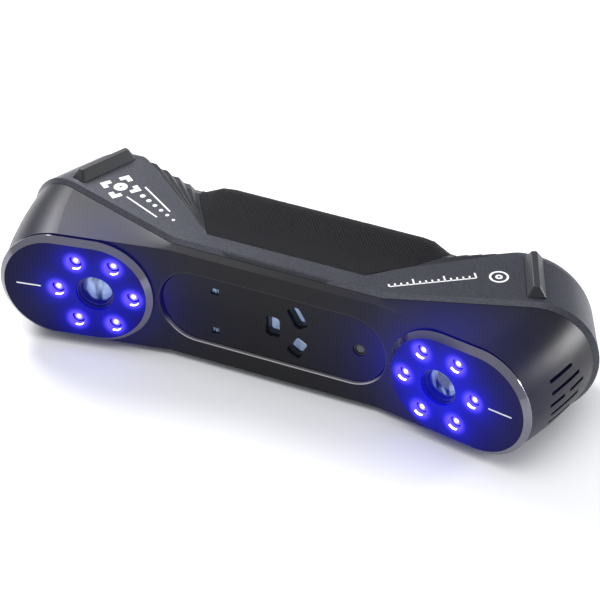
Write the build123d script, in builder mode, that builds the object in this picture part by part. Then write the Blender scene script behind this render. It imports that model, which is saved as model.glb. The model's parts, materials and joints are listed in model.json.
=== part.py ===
from build123d import *
from math import atan2, cos, degrees, hypot, pi, radians, sin, sqrt, tan
import os

# Handheld structured-light scanner, held by a rubber grip across the middle of its back.
# Two toed-in wings carry the cameras, each behind a stadium cover with a ring of lamps.  A recessed
# window between them hides the pattern projectors, the flash lamps and the colour camera.  The black
# front housing meets the painted rear housing at a chamfered rim.  Millimetres, +Z up, the front looks
# along -Y, and the origin is the centre of the footprint on the surface that the scanner lies on.

# ---------------------------------------------------------------- overall sizes
length = 216.0                 # across the rim, end to end
depth = 66.0                   # lens covers to the back of the grip
body_height = 46.8             # painted flank to painted flank, without the ribs
wall = 2.2                     # housing walls
fit_gap = 0.15                 # clearance between pieces that slide together
seam = 0.25                    # visible gap between the two housings

# ---------------------------------------------------------------- pods and lens covers
pod_spacing = 128.7            # between the two camera lenses
toe_in = 10.25                 # degrees that each pod turns towards the middle
cover_radius = 18.55           # flat face of a lens cover, at its round ends
cover_span = 14.55             # between the centres of the cover's two ends
cover_chamfer_out = 2.0
cover_chamfer_deep = 1.85
cover_edge = 0.4
gasket_thick = 0.5
gasket_inset = 0.7
lens_hole = 13.8               # diameters
lamp_hole = 5.2
lamp_circle = 27.2
lamp_count = 6
hole_step = 0.5                # each hole is this much wider in the layer behind
mark_start, mark_end, mark_width = 19.7, 28.6, 0.55
mark_deep = 0.3

# ---------------------------------------------------------------- housings
bend_x = 39.0                  # where the straight middle meets a wing
front_height = 42.2            # front housing at its face
rim_height = 44.2              # front housing where it meets the rim
rim_drop_middle = 3.05         # from the face back to the rim, in the middle
rim_end_back = 39.8            # from the front of the scanner to the rim's outer ends
rim_chamfer = 1.6
front_bulge = 1.2              # the front housing's ends stand out by this much halfway to the rim
wing_back = 1.1                # from the back of the grip to the back of the wings
back_end_inset = 11.4          # each end of the wing's back is this much shorter than the rim
back_fillet = 8.0
lip_reach, lip_thick, lip_root = 1.6, 1.1, 1.0

# ---------------------------------------------------------------- centre window
window_length, window_radius = 85.0, 13.6
window_recess = 0.85
window_thick = 1.5
window_ledge = 1.2             # the window rests on this much of the housing all round
window_lip = 1.4
window_chamfer = 0.35
projector_hole = (5.3, 8.2)
projector_corner = 1.5
projector_places = {"upright": (0, 0, 0), "upper": (9.2, 6.2, 30), "lower": (9.2, -6.2, -30)}
projector_wall = 0.75
projector_sleeve = 6.0
projector_glass = 1.0
projector_glass_back = 2.6
flash_places = [(-21.8, 8.15), (-21.8, -8.15)]
flash_hole = (2.9, 2.5)
colour_camera_x = 32.3
colour_hole = 4.8
colour_body = 8.6

# ---------------------------------------------------------------- grip and handle
grip_thick = 2.0
grip_front = 24.4              # from the front of the scanner to the grip's front edge
grip_front_half = 29.5
grip_knee = (46.0, 15.0)       # half width at the side's knee, and from the back of the grip
grip_back_half = 51.0
swell_end = 36.0               # the palm swell keeps its full height out to here
waist_start = 56.0             # and from here outwards the waist is even
swell_slope = [(0.0, 0.0), (0.2, 0.12), (0.5, 0.86), (0.7, 1.0), (1.0, 1.0)]   # share of the drop between
swell_axis = 18.0              # from the back of the grip to the axis of the angles below
swell_angles = [142.0, 135.2, 125.0, 107.0, 90.0, 75.4, 62.0, 47.0, 27.6, 12.0, 0.0]
swell_radii = [37.2, 33.2, 26.3, 20.6, 20.3, 21.8, 22.4, 21.6, 19.4, 18.2, 18.0]
waist_radii = [37.2, 33.2, 25.9, 19.5, 18.4, 18.7, 18.7, 18.5, 18.0, 17.6, 17.5]
pleat_count = 5
pleat_deep = 0.7
pleat_start = 0.1              # share of that depth where the pleats meet
pleat_outer_back = (72.0, 6.0)     # half width and distance from the back, where the last pleat ends

# ---------------------------------------------------------------- ribs, vents, socket, tripod thread
rib_height, rib_base, rib_crest = 3.6, 6.4, 2.1
rib_long_base, rib_long_crest = 24.0, 21.0
rib_corner = 0.9
rib_pocket = 0.8
rib_centre = (81.6, 18.7)      # half distance across, and from the back of the grip
rib_lean = 24.0
vent_width, vent_pitch = 1.3, 4.2
vent_from_front = 22.0
vent_rows = [(-2, -1.2, 13.0), (-1, 0.3, 16.6), (0, -4.9, 8.4), (0, 6.7, 8.8), (1, 0.3, 16.6),
             (2, -1.2, 13.0)]
socket_from_back = 14.0
socket_recess = (12.6, 6.8, 1.4)
usb_shell = (8.94, 3.26)
usb_wall, usb_long = 0.3, 7.3
usb_tongue = (6.7, 0.7, 5.6)
socket_board = (10.0, 14.0, 1.2)
tripod_from_back = 19.0
tripod_mouth = 2.6             # height of the thread's mouth above the surface
tripod_bore, tripod_outer, tripod_long = 5.2, 9.0, 8.0   # tap drill of a 1/4-20 thread
tripod_ring = 1.9

# ---------------------------------------------------------------- controls on the back
button_plate = (50.0, 17.0)
button_plate_thick = 2.4
button_plate_recess = 1.2      # the plate lies this much inside the back of the grip
button_ledge = 1.6
button_proud = 1.0
button_pitch = 16.5
button_radii = {"scan_button": 5.8, "plus_button": 4.4, "minus_button": 4.4}
button_travel = 0.8
button_gap = 0.2
button_rest_gap = 0.05
button_flange = (0.9, 0.9)     # wider than the cap by this much, and this thick
button_stem = (1.4, 2.05)
switch_plunger = (1.7, 0.8)
switch_body = (6.0, 3.5)
status_light_radius, status_light_at = 1.0, (8.3, 5.6)

# ---------------------------------------------------------------- optics and electronics
bench_thick, bench_height = 3.0, 31.2
bench_back = 21.2              # from the face of a lens cover to the front of the bench's wings
bench_middle_y = 1.0
bench_flat = 36.0
bench_reach = 7.0              # past each lens
bench_window = (13.0, 12.0)
post_place, post_radius = (30.0, 14.0), 1.6
barrel_radius, barrel_front, barrel_back = 6.2, 3.4, 12.0
barrel_throat = 5.3
glass_front, glass_thick, glass_dome = 4.2, 2.0, 0.8
camera_box = 20.0
sensor_board_side = 23.6
board_thick = 1.2
lamp_board_radius = 16.4
lamp_radius, lamp_front = 2.15, 1.5
main_board = (98.0, 26.0)
spacer_long = 2.0
spacer_radius = 2.2
chip_places = [(0.0, 0.0, 14.0), (-26.0, 2.0, 10.0), (24.0, -2.0, 9.0)]
chip_thick = 1.4
sink_size, sink_base, sink_deep, fin_count, fin_thick = 20.0, 1.2, 6.0, 7, 0.9
fan_side, fan_thick, fan_bore = 25.0, 7.0, 11.6
fan_centre = (89.2, 20.5)      # across, and from the front of the scanner
fan_pin, fan_pin_gap = 1.2, 0.05
fan_plate, fan_hub, fan_strut = 1.2, 4.8, 1.4
fan_blades, fan_blade_thick, fan_tip_gap, fan_pitch = 7, 0.8, 0.7, radians(40)
fan_rail = 15.0
cable_thick, cable_high = 0.3, 8.0

# ---------------------------------------------------------------- housing screws
screw_place = (78.0, 17.2)     # half distance across, and above and below the middle
screw_seat = 34.5              # from the front of the scanner to under the heads
screw_shank, screw_head, screw_head_high, screw_long = 1.1, 2.2, 1.8, 13.0
boss_radius, column_radius = 2.4, 3.4
boss_end = 28.5                # from the front of the scanner

# ---------------------------------------------------------------- worked out from the sizes above
toe = radians(toe_in)
front_y = -depth / 2
back_y = depth / 2
mid_z = body_height / 2
pod_x = pod_spacing / 2
cover_thick = cover_chamfer_deep + cover_edge
cover_proud = cover_thick + gasket_thick
pod_inner = cover_proud + wall
lens_y = front_y + (cover_radius + cover_span) * sin(toe)
face_y = lens_y + (cover_proud + (pod_x - bend_x) * sin(toe)) / cos(toe)
rim_y = face_y + rim_drop_middle
rim_end_x = length / 2
rim_end_y = front_y + rim_end_back
wing_lean = atan2(rim_end_y - rim_y, rim_end_x - bend_x)
wing_reach = hypot(rim_end_x - bend_x, rim_end_y - rim_y)
wing_back_y = back_y - wing_back
end_slope = back_end_inset / (wing_back_y - rim_end_y)
window_y = face_y + window_recess
window_seat_y = window_y + window_thick
window_pad_y = window_seat_y + window_lip
grip_front_y = front_y + grip_front
axis_y = back_y - swell_axis
plate_out_y = back_y - button_plate_recess
plate_in_y = plate_out_y - button_plate_thick
flange_in_y = plate_in_y - button_rest_gap - button_flange[1]
switch_y = flange_in_y - button_stem[1] - button_travel - button_rest_gap
button_board_y = switch_y - switch_plunger[1] - switch_body[1]
board_y = bench_middle_y + bench_thick + spacer_long
fan_y = front_y + fan_centre[1]
boss_y = front_y + boss_end
seat_y = front_y + screw_seat
sides = {"left": -1, "right": 1}


def pod_plane(side, behind=0.0):
    """Plane of a lens cover's face, moved back by 'behind'.  Its X runs across and it looks forwards."""
    normal = Vector(-side * sin(toe), -cos(toe), 0)
    origin = Vector(side * pod_x, lens_y, mid_z) - normal * behind
    return Plane(origin=origin, x_dir=(cos(toe), -side * sin(toe), 0), z_dir=normal)


def facing_front(y):
    """Plane across the scanner at this depth, looking forwards."""
    return Plane(origin=(0, y, mid_z), x_dir=(1, 0, 0), z_dir=(0, -1, 0))


def save(part, name):
    part.label = name
    export_step(part, f"parts/{name}.step")


# ---------------------------------------------------------------- outer and inner forms
def wing_section(y, lean, reach, half):
    """Section of the right wing in the upright plane that leaves the bend at this depth and lean."""
    plane = Plane(origin=(bend_x, y, mid_z), x_dir=(cos(lean), sin(lean), 0),
                  z_dir=(sin(lean), -cos(lean), 0))
    with BuildSketch(plane) as section:
        with Locations(((reach - half) / 2, 0)):
            Rectangle(reach - half, 2 * half)
        with Locations((reach - half, 0)):
            Circle(half)
    return section.sketch


def middle_section(outline):
    """Upright section of the straight middle, from (depth, half height) pairs, front to back."""
    with BuildSketch(Plane.YZ.offset(-bend_x)) as section:
        with BuildLine():
            Polyline(*[(y, mid_z + half) for y, half in outline],
                     *[(y, mid_z - half) for y, half in reversed(outline)], close=True)
        make_face()
    return section.sketch


def front_form(inset=0.0):
    """Outer form of the front housing, or its hollow when inset by the wall."""
    face_half, rim_half = front_height / 2 - inset, rim_height / 2 - inset
    near, far = face_y + inset / cos(toe), rim_y - seam
    # each wing lines up with its lens cover at the face, and with the rim behind it
    lens_along = (pod_x - bend_x) / cos(toe) - cover_proud * tan(toe)
    face_reach = lens_along + cover_span + front_height / 2 - inset
    rim_reach = wing_reach - (body_height - rim_height) / 2 - inset
    between, between_half = (near + far) / 2, (face_half + rim_half) / 2
    out = (face_reach * cos(toe) + rim_reach * cos(wing_lean)) / 2 + front_bulge
    back = (rim_reach * sin(wing_lean) - face_reach * sin(toe)) / 2
    with BuildPart() as form:
        extrude(middle_section([(near, face_half), (far, rim_half)]), amount=2 * bend_x)
        wing = loft([wing_section(near, -toe, face_reach, face_half),
                     wing_section(between, atan2(back, out), hypot(out, back), between_half),
                     wing_section(far, wing_lean, rim_reach, rim_half)])
        mirror(wing, about=Plane.YZ)
    return form.part


def rear_form():
    """Outer form of the rear housing, with its chamfered rim and rounded back."""
    half, rim_half = body_height / 2, rim_height / 2
    step = rim_chamfer / cos(wing_lean)
    outline = [(rim_y, rim_half), (rim_y + step, half), (wing_back_y, half)]
    with BuildPart() as form:
        extrude(middle_section(outline), amount=2 * bend_x)
        wing = loft([wing_section(rim_y, wing_lean, wing_reach - (half - rim_half), rim_half),
                     wing_section(rim_y + step, wing_lean, wing_reach, half),
                     wing_section(wing_back_y, 0, rim_end_x - back_end_inset - bend_x, half)], ruled=True)
        mirror(wing, about=Plane.YZ)
        fillet(form.faces().sort_by(Axis.Y)[-1].edges(), back_fillet)
    return form.part


def rear_hollow(inset, lead=0.0):
    """Hollow of the rear housing, its wall 'inset' thick, reaching 'lead' forwards of the rim."""
    half = body_height / 2 - inset
    with BuildPart() as form:
        extrude(middle_section([(rim_y - lead, half), (wing_back_y - inset, half)]), amount=2 * bend_x)
        wing = loft([wing_section(rim_y - lead, wing_lean, wing_reach - inset + lead * end_slope, half),
                     wing_section(wing_back_y - inset, 0, rim_end_x - back_end_inset - inset - bend_x, half)],
                    ruled=True)
        mirror(wing, about=Plane.YZ)
        fillet(form.faces().sort_by(Axis.Y)[-1].edges(), back_fillet - wall)
    return form.part


def plan_prism(points, low=-body_height, high=2 * body_height):
    """Upright prism over a plan outline."""
    with BuildPart() as prism:
        with BuildSketch(Plane.XY.offset(low)):
            with BuildLine():
                Polyline(*points, close=True)
            make_face()
        extrude(amount=high - low)
    return prism.part


def both_sides(right_points):
    """Closed plan outline from its right-hand points, front to back."""
    return right_points + [(-x, y) for x, y in reversed(right_points)]


def rim_band(ahead, behind):
    """Everything between two copies of the rim's plan line, moved forwards and back along Y."""
    reach = wing_reach + body_height
    far_x, far_y = bend_x + reach * cos(wing_lean), rim_y + reach * sin(wing_lean)
    line = [(-far_x, far_y), (-bend_x, rim_y), (bend_x, rim_y), (far_x, far_y)]
    return plan_prism([(x, y - ahead) for x, y in line] + [(x, y + behind) for x, y in reversed(line)])


def handle_section(x, radii, under):
    """Section of the handle across X, sunk by 'under' below the grip's surface."""
    upper = [(axis_y + (r - under) * cos(radians(a)), (r - under) * sin(radians(a)))
             for a, r in zip(swell_angles, radii)]
    ring = upper + [(y, -z) for y, z in reversed(upper[:-1])]
    with BuildSketch(Plane(origin=(x, 0, mid_z), x_dir=(0, 1, 0), z_dir=(1, 0, 0))) as section:
        with BuildLine():
            Spline(*ring)
            Line(ring[-1], ring[0])
        make_face()
    return section.sketch


def narrowed(drop):
    """Radii of the handle where it has narrowed by this share from the swell to the waist."""
    return [swell + (waist - swell) * drop for swell, waist in zip(swell_radii, waist_radii)]


def drop_at(x):
    """How far the handle has narrowed at this half width."""
    part_way = (x - swell_end) / (waist_start - swell_end)
    for (start, low), (end, high) in zip(swell_slope, swell_slope[1:]):
        if part_way < end:
            return low + (high - low) * max(0.0, part_way - start) / (end - start)
    return 1.0


def handle_form(under=0.0, reach=waist_start):
    """The handle's own form: a valley in front of a palm swell that narrows to a waist at both sides."""
    places = [(swell_end + (waist_start - swell_end) * along, narrowed(drop)) for along, drop in swell_slope]
    if reach > waist_start:
        places.append((reach, waist_radii))
    places = [(-x, radii) for x, radii in reversed(places)] + places
    with BuildPart() as form:
        loft([handle_section(x, radii, under) for x, radii in places], ruled=True)
    return form.part


def grip_zone(gap=0.0):
    """Plan of the grip: a straight front edge and sides that spread towards the back."""
    return plan_prism(both_sides([(grip_front_half - gap, grip_front_y + gap),
                                  (grip_knee[0] - gap, back_y - grip_knee[1]),
                                  (grip_back_half - gap, back_y + wall)]))


def grip_edge(y):
    """Half width of the grip at this depth."""
    corners = [(grip_front_y, grip_front_half), (back_y - grip_knee[1], grip_knee[0]),
               (back_y + wall, grip_back_half)]
    for (y0, x0), (y1, x1) in zip(corners, corners[1:]):
        if y <= y1:
            return x0 + (x1 - x0) * (y - y0) / (y1 - y0)
    return grip_back_half


def wing_radius(angle):
    """Distance from the swell's axis to the wing's surface in this direction."""
    across, up = cos(angle), sin(angle)
    corner_y, corner_z = wing_back_y - back_fillet - axis_y, mid_z - back_fillet
    along = corner_y * across + corner_z * up
    room = back_fillet ** 2 + along ** 2 - corner_y ** 2 - corner_z ** 2
    if room > 0:
        radius = along + sqrt(room)
        if radius * across > corner_y and radius * up > corner_z:
            return radius
    return mid_z / up if up * (wing_back_y - axis_y) > across * mid_z else (wing_back_y - axis_y) / across


def pleat_cutter(side):
    """What is cleared above the pleats, which fan out from the grip's front corner round to the back."""
    outer_x, outer_y = pleat_outer_back[0], back_y - pleat_outer_back[1]
    clear = 1.4 * (body_height / 2 + wing_back_y - axis_y)
    stations = [(a, s, w) for a, s, w in zip(swell_angles, swell_radii, waist_radii) if a < swell_angles[0]]
    stations += [(-a, s, w) for a, s, w in reversed(stations[:-1])]
    sections = []
    for degree, swell, waist in stations:
        angle = radians(abs(degree))
        inner_y = axis_y + swell * cos(angle)
        inner = grip_edge(inner_y)
        low, high = swell + (waist - swell) * drop_at(inner), wing_radius(angle) + 0.1
        run = (axis_y + high * cos(angle) - grip_front_y) / (outer_y - grip_front_y)
        outer = max(inner + 0.6, grip_front_half + (outer_x - grip_front_half) * run)
        corners = 2 * pleat_count
        ridge = []
        for i in range(corners + 1):
            part_way = i / corners
            notch = pleat_deep * min(1.0, max(pleat_start, run)) if i % 2 else 0.0
            ridge.append((inner + (outer - inner) * part_way, low + (high - low) * part_way - notch))
        ridge.insert(0, (inner - 0.3, low))
        lid = [(outer, clear), (inner - (clear - low) / 2, clear)]
        corner_points = [(side * x, r) for x, r in ridge + lid]
        turned = radians(degree)
        plane = Plane(origin=(0, axis_y, mid_z), x_dir=(1, 0, 0), z_dir=(0, -sin(turned), cos(turned)))
        with BuildSketch(plane) as section:
            with BuildLine():
                Polyline(*corner_points, close=True)
            make_face()
        sections.append(section.sketch)
    with BuildPart() as cutter:
        loft(sections, ruled=True)
    return cutter.part


# ---------------------------------------------------------------- shared outlines
def pod_stadium(side, radius):
    """Stadium that follows a lens cover, drawn on the plane in use."""
    with Locations((side * cover_span / 2, 0)):
        SlotCenterToCenter(cover_span, 2 * radius)


def pod_holes(step):
    """The lens hole and the ring of lamp holes, drawn wider by 'step' all round."""
    Circle(lens_hole / 2 + step)
    with PolarLocations(lamp_circle / 2, lamp_count):
        Circle(lamp_hole / 2 + step)


def window_stadium(inset):
    """Stadium that follows the centre window."""
    SlotOverall(window_length - 2 * inset, 2 * (window_radius - inset))


def projector_outline(place, growth):
    """Rounded rectangle of a projector's hole at its place and lean."""
    across, up, lean = place
    with Locations(Location((across, up, 0), (0, 0, 1), lean)):
        RectangleRounded(projector_hole[0] + 2 * growth, projector_hole[1] + 2 * growth,
                         projector_corner + growth)


def at_screws():
    """The four housing screws, on a plane that looks along Y."""
    return GridLocations(2 * screw_place[0], 2 * screw_place[1], 2, 2)


def at_posts():
    """The four posts that carry the optical bench."""
    return GridLocations(2 * post_place[0], 2 * post_place[1], 2, 2)


def end_normal(side):
    """Outward direction of the rear housing's end, square to its slanted side."""
    slant = atan2(back_end_inset, wing_back_y - rim_end_y)
    return Vector(side * cos(slant), sin(slant), 0)


def socket_plane(inwards):
    """Plane of the cable socket on the left end, 'inwards' of the painted surface, looking out."""
    y = back_y - socket_from_back
    x = -(rim_end_x - (y - rim_end_y) * end_slope)
    normal = end_normal(-1)
    return Plane(origin=Vector(x, y, mid_z) - normal * inwards, x_dir=(0, 0, 1), z_dir=normal)


def rib_plane(side, height):
    """Plane of a rib at this height above the flank, its X along the rib."""
    lean = radians(rib_lean)
    return Plane(origin=(side * rib_centre[0], back_y - rib_centre[1], body_height + height),
                 x_dir=(-side * sin(lean), cos(lean), 0), z_dir=(0, 0, 1))


def vent_plane(outwards):
    """Plane along the right end of the front housing, its X running backwards."""
    x = pod_x + (cover_span + front_height / 2) * cos(toe)
    forward = lens_y - (cover_span + front_height / 2) * sin(toe)
    along = front_y + vent_from_front - forward
    return Plane(origin=(x + along * tan(toe) + outwards, front_y + vent_from_front, mid_z),
                 x_dir=(sin(toe), cos(toe), 0), z_dir=(cos(toe), -sin(toe), 0))


# ---------------------------------------------------------------- housings and grip
def make_front_housing():
    with BuildPart() as housing:
        add(front_form())
        add(front_form(wall), mode=Mode.SUBTRACT)
        lip = (rear_hollow(wall + fit_gap, seam + lip_root)
               - rear_hollow(wall + fit_gap + lip_thick, seam + lip_root))
        add(lip & rim_band(seam + lip_root, lip_reach))
        # room for the rear housing's screw columns
        with BuildSketch(facing_front(wing_back_y)):
            with at_screws():
                Circle(column_radius + fit_gap)
        extrude(amount=wing_back_y - boss_y, mode=Mode.SUBTRACT)
        # pad behind the centre window, with its seat and the opening through it
        with BuildSketch(facing_front(window_pad_y)):
            window_stadium(-window_ledge)
        extrude(amount=window_pad_y - face_y - wall / 2)
        with BuildSketch(facing_front(window_seat_y)):
            window_stadium(-fit_gap)
        extrude(amount=wall * 2, mode=Mode.SUBTRACT)
        with BuildSketch(facing_front(window_pad_y)):
            window_stadium(window_ledge)
        extrude(amount=wall * 2, mode=Mode.SUBTRACT)
        # posts for the bench and bosses for the housing screws
        with BuildSketch(facing_front(bench_middle_y)):
            with at_posts():
                Circle(post_radius)
        extrude(amount=bench_middle_y - window_pad_y)
        with BuildSketch(facing_front(boss_y)):
            with at_screws():
                Circle(boss_radius)
        bosses = extrude(amount=boss_y - front_y, mode=Mode.PRIVATE)
        add(bosses & front_form(wall / 2))
        for side in sides.values():
            with BuildSketch(pod_plane(side, pod_inner)):
                pod_holes(hole_step)
            extrude(amount=wall, both=True, mode=Mode.SUBTRACT)
        with BuildSketch(facing_front(boss_y)):
            with at_screws():
                Circle(screw_shank)
        extrude(amount=screw_long - (seat_y - boss_y), mode=Mode.SUBTRACT)
        # rails above and below the fan, and the vents beside it
        with BuildSketch(Plane.YZ.offset(fan_centre[0] - fan_thick / 2)):
            for up in (-1, 1):
                with Locations((fan_y, mid_z + up * (fan_side / 2 + wall))):
                    Rectangle(fan_rail, 2 * wall)
        rails = extrude(amount=fan_thick, mode=Mode.PRIVATE)
        add(rails & front_form(wall / 2))
        with BuildSketch(vent_plane(-wall * 3)):
            for row, offset, long in vent_rows:
                with Locations((offset, row * vent_pitch)):
                    SlotOverall(long, vent_width)
        extrude(amount=wall * 6, mode=Mode.SUBTRACT)
    return housing.part


def make_rear_housing():
    sunk = handle_form(grip_thick)
    hollow_zone = plan_prism(both_sides([(grip_front_half + wall, grip_front_y - wall),
                                         (pleat_outer_back[0] + wall, back_y - pleat_outer_back[1]),
                                         (pleat_outer_back[0] + 2 * wall, back_y + wall)]))
    hollow = rear_hollow(wall, wall) - (hollow_zone - handle_form(grip_thick + wall, pod_x + body_height / 2))
    with BuildPart() as housing:
        add(rear_form())
        add(grip_zone() - sunk, mode=Mode.SUBTRACT)
        for side in sides.values():
            add(pleat_cutter(side), mode=Mode.SUBTRACT)
        add(hollow, mode=Mode.SUBTRACT)
        # screw columns from the back of the wings to the bosses
        with BuildSketch(facing_front(wing_back_y - wall)):
            with at_screws():
                Circle(column_radius)
        extrude(amount=wing_back_y - wall - boss_y)
        with BuildSketch(facing_front(wing_back_y)):
            with at_screws():
                Circle(screw_head + 2 * fit_gap)
        extrude(amount=wing_back_y - seat_y, mode=Mode.SUBTRACT)
        with BuildSketch(facing_front(wing_back_y)):
            with at_screws():
                Circle(screw_shank + fit_gap)
        extrude(amount=wing_back_y - boss_y, mode=Mode.SUBTRACT)
        # pad for the button plate, its recess, the window behind it and the posts for the button board
        with BuildSketch(facing_front(back_y - grip_thick)):
            SlotOverall(button_plate[0] + 2 * button_ledge, button_plate[1] + 2 * button_ledge)
        pad = extrude(amount=back_y - grip_thick - plate_in_y + button_ledge, mode=Mode.PRIVATE)
        add(pad & sunk)
        with BuildSketch(facing_front(back_y)):
            SlotOverall(button_plate[0] + 2 * fit_gap, button_plate[1] + 2 * fit_gap)
        extrude(amount=back_y - plate_in_y, mode=Mode.SUBTRACT)
        with BuildSketch(facing_front(back_y)):
            SlotOverall(button_plate[0] - 2 * button_ledge, button_plate[1] - 2 * button_ledge)
        extrude(amount=back_y - plate_in_y + 2 * button_ledge, mode=Mode.SUBTRACT)
        with BuildSketch(facing_front(plate_in_y - button_ledge)):
            with GridLocations(button_plate[0] - button_ledge, 0.1, 2, 1):
                Circle(button_ledge)
        extrude(amount=plate_in_y - button_ledge - button_board_y)
        # boss and ring for the tripod thread
        with BuildSketch(Plane.XY.offset(tripod_mouth)):
            with Locations((0, back_y - tripod_from_back)):
                Circle(tripod_outer / 2 + tripod_ring)
        extrude(amount=tripod_long + wall)
        with BuildSketch(Plane.XY.offset(tripod_mouth)):
            with Locations((0, back_y - tripod_from_back)):
                Circle(tripod_outer / 2)
        extrude(amount=tripod_long, mode=Mode.SUBTRACT)
        for side in sides.values():
            with BuildSketch(rib_plane(side, -rib_pocket)):
                RectangleRounded(rib_long_base + 2 * fit_gap, rib_base + 2 * fit_gap, rib_corner + fit_gap)
            extrude(amount=2 * rib_pocket, mode=Mode.SUBTRACT)
        # recess and mouth for the cable socket
        with BuildSketch(socket_plane(socket_recess[2])):
            SlotOverall(socket_recess[0], socket_recess[1])
        extrude(amount=body_height / 4, mode=Mode.SUBTRACT)
        with BuildSketch(socket_plane(usb_long)):
            SlotOverall(usb_shell[0] + 2 * fit_gap, usb_shell[1] + 2 * fit_gap)
        extrude(amount=usb_long, mode=Mode.SUBTRACT)
    return housing.part


def make_grip_cover():
    with BuildPart() as grip:
        add(handle_form() & grip_zone(fit_gap))
        add(handle_form(grip_thick), mode=Mode.SUBTRACT)
        with BuildSketch(facing_front(back_y + wall)):
            SlotOverall(button_plate[0] + 2 * fit_gap, button_plate[1] + 2 * fit_gap)
        extrude(amount=back_y + wall - plate_in_y, mode=Mode.SUBTRACT)
        with BuildSketch(Plane.XY):
            with Locations((0, back_y - tripod_from_back)):
                Circle(tripod_outer / 2 + tripod_ring + fit_gap)
        extrude(amount=tripod_long, mode=Mode.SUBTRACT)
    return grip.part


def make_rib(side):
    crest_inset = (rib_base - rib_crest) / 2
    with BuildPart() as rib:
        with BuildSketch(rib_plane(side, -rib_pocket)):
            RectangleRounded(rib_long_base, rib_base, rib_corner)
        extrude(amount=rib_pocket)
        with BuildSketch(rib_plane(side, 0)):
            RectangleRounded(rib_long_base, rib_base, rib_corner)
        with BuildSketch(rib_plane(side, rib_height)):
            RectangleRounded(rib_long_crest, rib_crest, rib_corner)
        loft(ruled=True)
        fillet(rib.faces().sort_by(Axis.Z)[-1].edges(), min(0.5, crest_inset / 3))
    return rib.part


# ---------------------------------------------------------------- camera pods
def make_lens_cover(side):
    with BuildPart() as cover:
        with BuildSketch(pod_plane(side, cover_thick)):
            pod_stadium(side, cover_radius + cover_chamfer_out)
        extrude(amount=cover_edge)
        with BuildSketch(pod_plane(side, cover_chamfer_deep)):
            pod_stadium(side, cover_radius + cover_chamfer_out)
        extrude(amount=cover_chamfer_deep, taper=degrees(atan2(cover_chamfer_out, cover_chamfer_deep)))
        with BuildSketch(pod_plane(side)):
            pod_holes(0)
        extrude(amount=-cover_thick, mode=Mode.SUBTRACT)
        with BuildSketch(pod_plane(side)):
            with Locations((side * (mark_start + mark_end) / 2, 0)):
                Rectangle(mark_end - mark_start, mark_width)
        extrude(amount=-mark_deep, mode=Mode.SUBTRACT)
    return cover.part


def make_index_mark(side):
    with BuildPart() as mark:
        with BuildSketch(pod_plane(side, mark_deep)):
            with Locations((side * (mark_start + mark_end) / 2, 0)):
                Rectangle(mark_end - mark_start, mark_width)
        extrude(amount=mark_deep)
    return mark.part


def make_cover_gasket(side):
    with BuildPart() as gasket:
        with BuildSketch(pod_plane(side, cover_proud)):
            pod_stadium(side, cover_radius + cover_chamfer_out - gasket_inset)
            with BuildSketch(mode=Mode.SUBTRACT):
                pod_holes(hole_step)
        extrude(amount=gasket_thick)
    return gasket.part


def make_lens_shroud(side):
    """Ring that darkens the lens hole, stepping down towards the barrel."""
    outer = lens_hole / 2 - fit_gap
    with BuildPart() as shroud:
        with BuildSketch(pod_plane(side, barrel_front)):
            Circle(outer)
        extrude(amount=barrel_front - cover_edge * 2)
        with BuildSketch(pod_plane(side, barrel_front)):
            Circle(barrel_throat + 0.5)
        extrude(amount=barrel_front, mode=Mode.SUBTRACT)
        with BuildSketch(pod_plane(side, cover_chamfer_deep)):
            Circle(barrel_throat + 1.1)
        extrude(amount=barrel_front, mode=Mode.SUBTRACT)
    return shroud.part


def make_lens_barrel(side):
    with BuildPart() as barrel:
        with BuildSketch(pod_plane(side, barrel_back)):
            Circle(barrel_radius)
        extrude(amount=barrel_back - barrel_front)
        with BuildSketch(pod_plane(side, glass_front + glass_thick)):
            Circle(barrel_throat)
        extrude(amount=glass_front, mode=Mode.SUBTRACT)
    return barrel.part


def make_lens_glass(side):
    """Front element of the camera lens, with a domed face."""
    radius = (barrel_throat ** 2 + glass_dome ** 2) / (2 * glass_dome)
    half_way = atan2(barrel_throat, radius - glass_dome) / 2
    with BuildPart() as glass:
        with BuildSketch(Plane.XZ):
            with BuildLine():
                Polyline((0, glass_dome), (0, -glass_thick), (barrel_throat, -glass_thick),
                         (barrel_throat, 0))
                ThreePointArc((barrel_throat, 0),
                              (radius * sin(half_way), glass_dome - radius * (1 - cos(half_way))),
                              (0, glass_dome))
            make_face()
        revolve(axis=Axis.Z)
    return pod_plane(side, glass_front) * glass.part


def make_camera_body(side):
    with BuildPart() as body:
        with BuildSketch(pod_plane(side, bench_back - board_thick)):
            RectangleRounded(camera_box, camera_box, 1.5)
        extrude(amount=bench_back - board_thick - barrel_back)
    return body.part


def make_sensor_board(side):
    with BuildPart() as board:
        with BuildSketch(pod_plane(side, bench_back)):
            RectangleRounded(sensor_board_side, sensor_board_side, 1.0)
        extrude(amount=board_thick)
    return board.part


def make_lamp_board(side):
    with BuildPart() as board:
        with BuildSketch(pod_plane(side, pod_inner + board_thick)):
            Circle(lamp_board_radius)
            Circle(barrel_radius + hole_step, mode=Mode.SUBTRACT)
        extrude(amount=board_thick)
    return board.part


def make_lamps(side):
    """The ring of lamps, standing on their board and reaching into the cover."""
    with BuildPart() as lamps:
        with BuildSketch(pod_plane(side, pod_inner)):
            with PolarLocations(lamp_circle / 2, lamp_count):
                Circle(lamp_radius)
        extrude(amount=pod_inner - lamp_front)
        tips = lamps.faces().filter_by(pod_plane(side, lamp_front), tolerance=1e-4)
        fillet([edge for tip in tips for edge in tip.edges()], lamp_radius * 0.55)
    return lamps.part


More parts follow.
